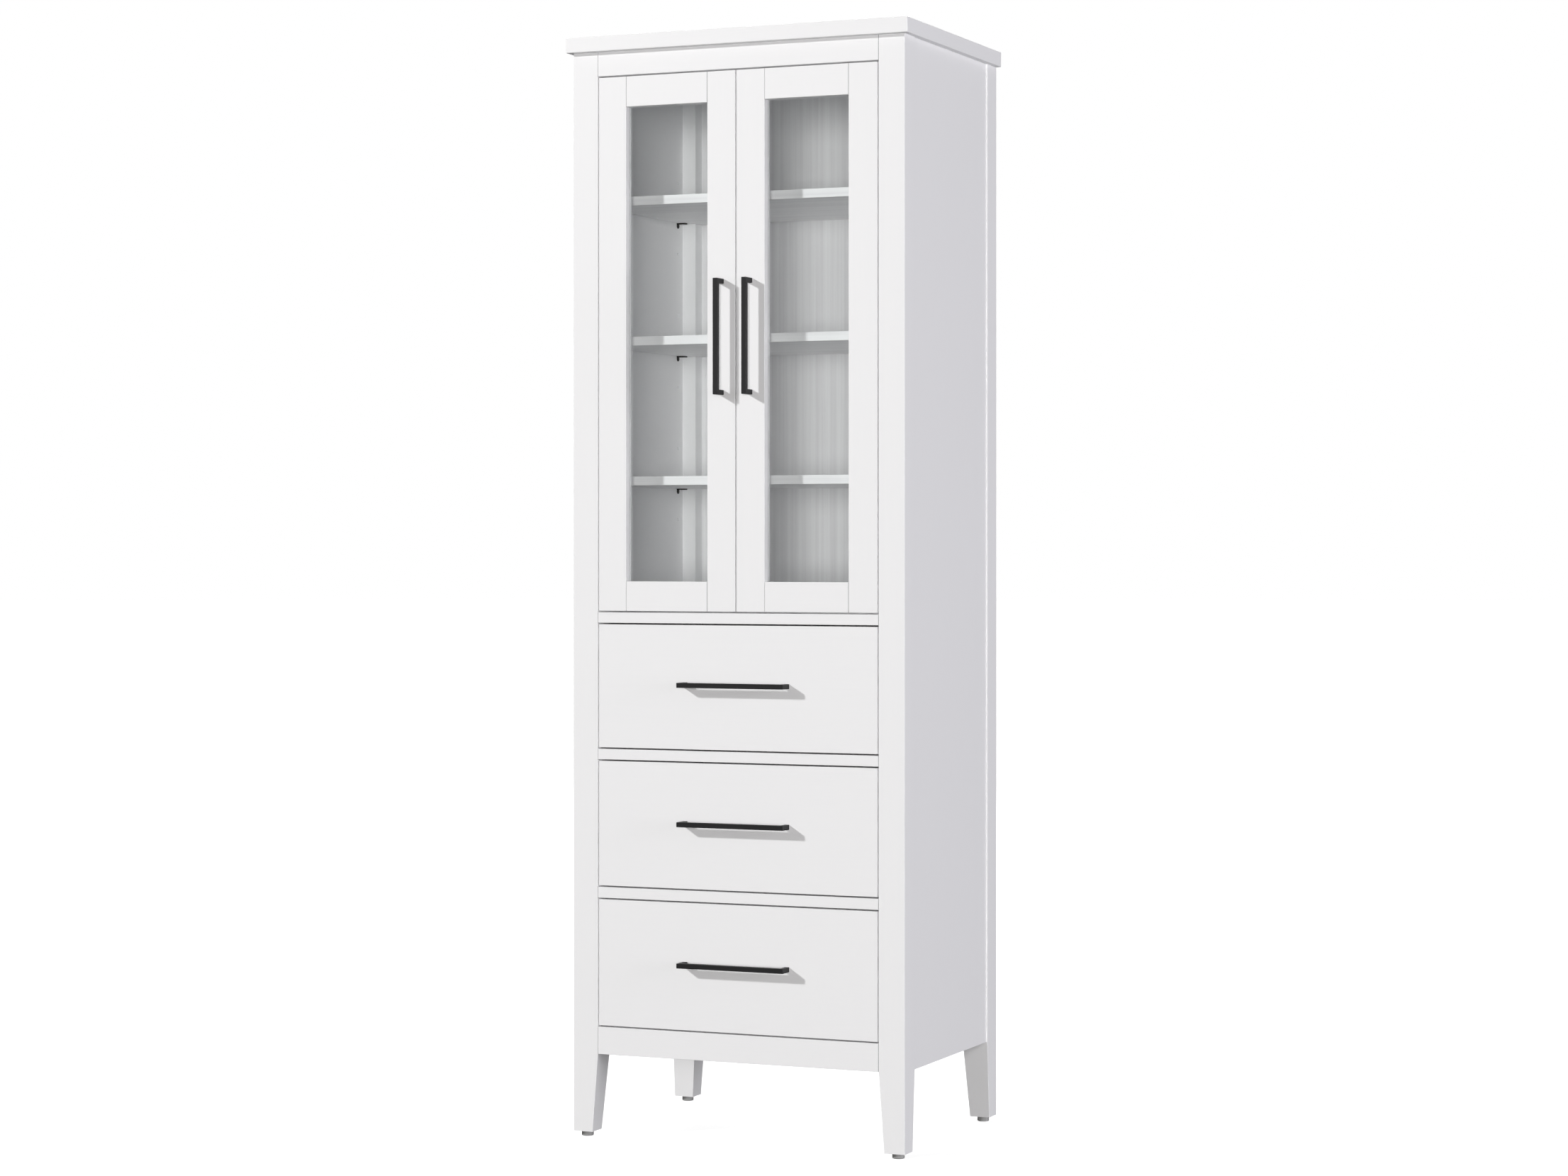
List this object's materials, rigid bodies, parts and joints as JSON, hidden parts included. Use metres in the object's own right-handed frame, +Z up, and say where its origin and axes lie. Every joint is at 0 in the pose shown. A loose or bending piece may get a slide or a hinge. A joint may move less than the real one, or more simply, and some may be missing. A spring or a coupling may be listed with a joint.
{
  "type": "apothecary cabinet",
  "caption": "Tall white storage cabinet on tapered legs: two inset glass doors with bar pulls above a stack of inset drawers, adjustable shelves inside.",
  "frame": {"origin": "centre of the bounding box's base, on the floor under the foot glides", "axes": "+Z up, the doors and drawers face -Y, +X to the right of somebody who stands in front"},
  "size_m": [0.61, 0.459, 1.829],
  "materials": {
    "painted_wood": "satin white sprayed lacquer over MDF and solid wood",
    "painted_board": "white lacquered board inside the case",
    "drawer_board": "clear lacquered birch plywood",
    "clear_glass": "clear float glass",
    "black_metal": "matt black powder coat on zinc alloy",
    "nickel_steel": "nickel-plated pressed steel",
    "zinc_steel": "bright zinc-plated rolled steel",
    "bronze_metal": "dark bronze plated steel",
    "grey_plastic": "moulded grey polyethylene"
  },
  "bodies": {
    "cabinet": {"top_board": "painted_wood", "front_left_post": "painted_wood", "front_right_post": "painted_wood", "rear_left_post": "painted_wood", "rear_right_post": "painted_wood", "foot_glides": "grey_plastic", "left_side_panel": "painted_wood", "right_side_panel": "painted_wood", "back_panel": "painted_board", "rear_rails": "painted_wood", "top_rail": "painted_wood", "middle_rail": "painted_wood", "upper_drawer_rail": "painted_wood", "lower_drawer_rail": "painted_wood", "bottom_rail": "painted_wood", "door_stop": "painted_board", "divider_board": "painted_board", "bottom_board": "painted_board", "lower_shelf": "painted_board", "middle_shelf": "painted_board", "upper_shelf": "painted_board", "shelf_pins": "bronze_metal", "hinge_plates": "nickel_steel", "hinge_arms": "nickel_steel", "cabinet_runners": "zinc_steel", "runner_cleats": "painted_board"},
    "left_door": {"left_door_hinge_stile": "painted_wood", "left_door_meeting_stile": "painted_wood", "left_door_top_rail": "painted_wood", "left_door_bottom_rail": "painted_wood", "left_door_glass": "clear_glass", "left_door_beads": "painted_wood", "left_hinge_cups": "nickel_steel", "left_door_handle": "black_metal"},
    "right_door": {"right_door_hinge_stile": "painted_wood", "right_door_meeting_stile": "painted_wood", "right_door_top_rail": "painted_wood", "right_door_bottom_rail": "painted_wood", "right_door_glass": "clear_glass", "right_door_beads": "painted_wood", "right_hinge_cups": "nickel_steel", "right_door_handle": "black_metal"},
    "top_drawer": {"top_drawer_front": "painted_wood", "top_drawer_box": "drawer_board", "top_drawer_bottom": "drawer_board", "top_drawer_handle": "black_metal", "top_drawer_runners": "zinc_steel"},
    "top_drawer_slides": {"top_drawer_slide_middles": "zinc_steel"},
    "middle_drawer": {"middle_drawer_front": "painted_wood", "middle_drawer_box": "drawer_board", "middle_drawer_bottom": "drawer_board", "middle_drawer_handle": "black_metal", "middle_drawer_runners": "zinc_steel"},
    "middle_drawer_slides": {"middle_drawer_slide_middles": "zinc_steel"},
    "bottom_drawer": {"bottom_drawer_front": "painted_wood", "bottom_drawer_box": "drawer_board", "bottom_drawer_bottom": "drawer_board", "bottom_drawer_handle": "black_metal", "bottom_drawer_runners": "zinc_steel"},
    "bottom_drawer_slides": {"bottom_drawer_slide_middles": "zinc_steel"}
  },
  "joints": [
    {"name": "left_door_swing", "type": "hinge", "parent": "cabinet", "child": "left_door", "pos_m": [-0.249, -0.2025, 1.31845], "axis": [0, 0, -1], "range_deg": [0, 110]},
    {"name": "right_door_swing", "type": "hinge", "parent": "cabinet", "child": "right_door", "pos_m": [0.249, -0.2025, 1.31845], "axis": [0, 0, 1], "range_deg": [0, 110]},
    {"name": "bottom_drawer_slide", "type": "slide", "parent": "cabinet", "child": "bottom_drawer", "axis": [0, -1, 0], "range_m": [0, 0.34]},
    {"name": "bottom_middle_slide", "type": "slide", "parent": "cabinet", "child": "bottom_drawer_slides", "axis": [0, -1, 0], "range_m": [0, 0.17]},
    {"name": "middle_drawer_slide", "type": "slide", "parent": "cabinet", "child": "middle_drawer", "axis": [0, -1, 0], "range_m": [0, 0.34]},
    {"name": "middle_middle_slide", "type": "slide", "parent": "cabinet", "child": "middle_drawer_slides", "axis": [0, -1, 0], "range_m": [0, 0.17]},
    {"name": "top_drawer_slide", "type": "slide", "parent": "cabinet", "child": "top_drawer", "axis": [0, -1, 0], "range_m": [0, 0.34]},
    {"name": "top_middle_slide", "type": "slide", "parent": "cabinet", "child": "top_drawer_slides", "axis": [0, -1, 0], "range_m": [0, 0.17]}
  ],
  "couplings": [
    {"joint": "bottom_middle_slide", "follows": "bottom_drawer_slide", "ratio": 0.5},
    {"joint": "middle_middle_slide", "follows": "middle_drawer_slide", "ratio": 0.5},
    {"joint": "top_middle_slide", "follows": "top_drawer_slide", "ratio": 0.5}
  ]
}
